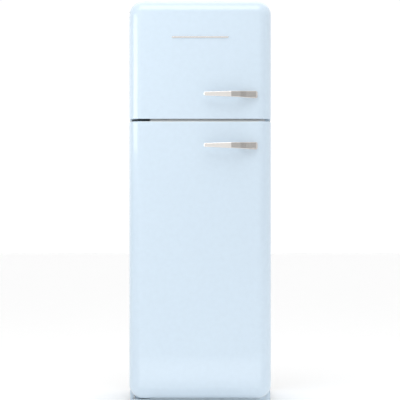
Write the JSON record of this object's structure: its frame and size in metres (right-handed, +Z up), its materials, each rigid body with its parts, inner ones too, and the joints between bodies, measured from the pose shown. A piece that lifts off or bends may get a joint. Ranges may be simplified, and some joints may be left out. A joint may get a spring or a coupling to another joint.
{
  "type": "top freezer refrigerator",
  "caption": "Free-standing top freezer refrigerator with pillow-fronted doors hinged on the left, lever handles, glass shelves, crispers and a rear wire condenser.",
  "frame": {"origin": "on the floor, under the middle of the overall box", "axes": "+X right seen from the front, -Y out of the doors, +Z up"},
  "size_m": [0.601, 0.728, 1.72],
  "materials": {
    "body_paint": "gloss",
    "foam": "matte",
    "liner": "satin",
    "zinc_steel": "satin",
    "dark_steel": "satin",
    "chrome": "polished",
    "seal": "matte",
    "glass": "gloss",
    "clear_plastic": "gloss",
    "black_enamel": "satin",
    "black_plastic": "matte",
    "copper": "satin",
    "aluminium": "satin",
    "lamp_glass": "gloss",
    "grey_plastic": "satin"
  },
  "bodies": {
    "cabinet": {"bottom_hinge_bracket": "body_paint", "cabinet_wrapper": "body_paint", "plinth_panel": "body_paint", "cabinet_foam": "foam", "fridge_liner": "liner", "freezer_liner": "liner", "control_housing": "liner", "mullion_strip": "zinc_steel", "rear_panel": "zinc_steel", "base_pan": "zinc_steel", "compressor_tray": "zinc_steel", "roller_bracket_left": "zinc_steel", "roller_bracket_right": "zinc_steel", "top_hinge_pin": "zinc_steel", "middle_hinge_pin": "zinc_steel", "bottom_hinge_pin": "zinc_steel", "top_hinge_bracket": "dark_steel", "middle_hinge_bracket": "dark_steel", "bottle_rack": "chrome", "shelf_1": "glass", "shelf_2": "glass", "shelf_3": "glass", "crisper_cover": "glass", "freezer_shelf": "glass", "lamp_cover": "clear_plastic", "compressor": "black_enamel", "condenser_coil": "black_enamel", "condenser_wires": "black_enamel", "terminal_cover": "black_plastic", "evaporation_tray": "black_plastic", "power_inlet": "black_plastic", "discharge_pipe": "copper", "suction_pipe": "copper", "filter_drier": "copper", "freezer_evaporator": "aluminium", "lamp": "lamp_glass"},
    "freezer_door": {"freezer_door_skin": "body_paint", "freezer_door_foam": "foam", "freezer_door_liner": "liner", "freezer_door_gasket": "seal", "freezer_door_handle": "chrome", "freezer_door_balcony": "clear_plastic", "badge_bar": "chrome"},
    "fridge_door": {"fridge_door_skin": "body_paint", "fridge_door_foam": "foam", "fridge_door_liner": "liner", "fridge_door_gasket": "seal", "fridge_door_handle": "chrome", "bottle_balcony": "clear_plastic", "middle_balcony": "clear_plastic", "dairy_box": "clear_plastic"},
    "dairy_cover": {"dairy_cover": "clear_plastic"},
    "crisper_left": {"crisper_left": "clear_plastic"},
    "crisper_right": {"crisper_right": "clear_plastic"},
    "thermostat_knob": {"thermostat_knob": "liner"},
    "light_switch_button": {"light_switch_button": "grey_plastic"},
    "front_foot_left": {"front_foot_left": "black_plastic"},
    "front_foot_right": {"front_foot_right": "black_plastic"},
    "rear_roller_left": {"rear_roller_left": "black_plastic"},
    "rear_roller_right": {"rear_roller_right": "black_plastic"}
  },
  "joints": [
    {"name": "freezer_door_hinge", "type": "hinge", "parent": "cabinet", "child": "freezer_door", "pos_m": [-0.2785, -0.258, 1.4], "axis": [0, 0, -1], "range_deg": [0, 115]},
    {"name": "fridge_door_hinge", "type": "hinge", "parent": "cabinet", "child": "fridge_door", "pos_m": [-0.2785, -0.258, 0.6], "axis": [0, 0, -1], "range_deg": [0, 115]},
    {"name": "dairy_cover_lift", "type": "hinge", "parent": "fridge_door", "child": "dairy_cover", "pos_m": [0, -0.2349, 0.9303], "axis": [1, 0, 0], "range_deg": [0, 90]},
    {"name": "crisper_left_slide", "type": "slide", "parent": "cabinet", "child": "crisper_left", "axis": [0, -1, 0], "range_m": [0, 0.1]},
    {"name": "crisper_right_slide", "type": "slide", "parent": "cabinet", "child": "crisper_right", "axis": [0, -1, 0], "range_m": [0, 0.1]},
    {"name": "thermostat_turn", "type": "hinge", "parent": "cabinet", "child": "thermostat_knob", "pos_m": [-0.04, -0.132, 1.14], "axis": [0, 0, -1], "range_deg": [0, 270]},
    {"name": "light_switch_press", "type": "slide", "parent": "cabinet", "child": "light_switch_button", "axis": [0, -1, 0], "range_m": [0, 0.0061]},
    {"name": "front_foot_left_turn", "type": "hinge", "parent": "cabinet", "child": "front_foot_left", "pos_m": [-0.235, -0.19, 0.01], "axis": [0, 0, 1], "continuous": true},
    {"name": "front_foot_right_turn", "type": "hinge", "parent": "cabinet", "child": "front_foot_right", "pos_m": [0.235, -0.19, 0.01], "axis": [0, 0, 1], "continuous": true},
    {"name": "rear_roller_left_spin", "type": "hinge", "parent": "cabinet", "child": "rear_roller_left", "pos_m": [-0.225, 0.3, 0.012], "axis": [1, 0, 0], "continuous": true},
    {"name": "rear_roller_right_spin", "type": "hinge", "parent": "cabinet", "child": "rear_roller_right", "pos_m": [0.225, 0.3, 0.012], "axis": [1, 0, 0], "continuous": true}
  ],
  "couplings": [
    {"joint": "light_switch_press", "follows": "fridge_door_hinge", "m_per_rad": 0.003}
  ]
}
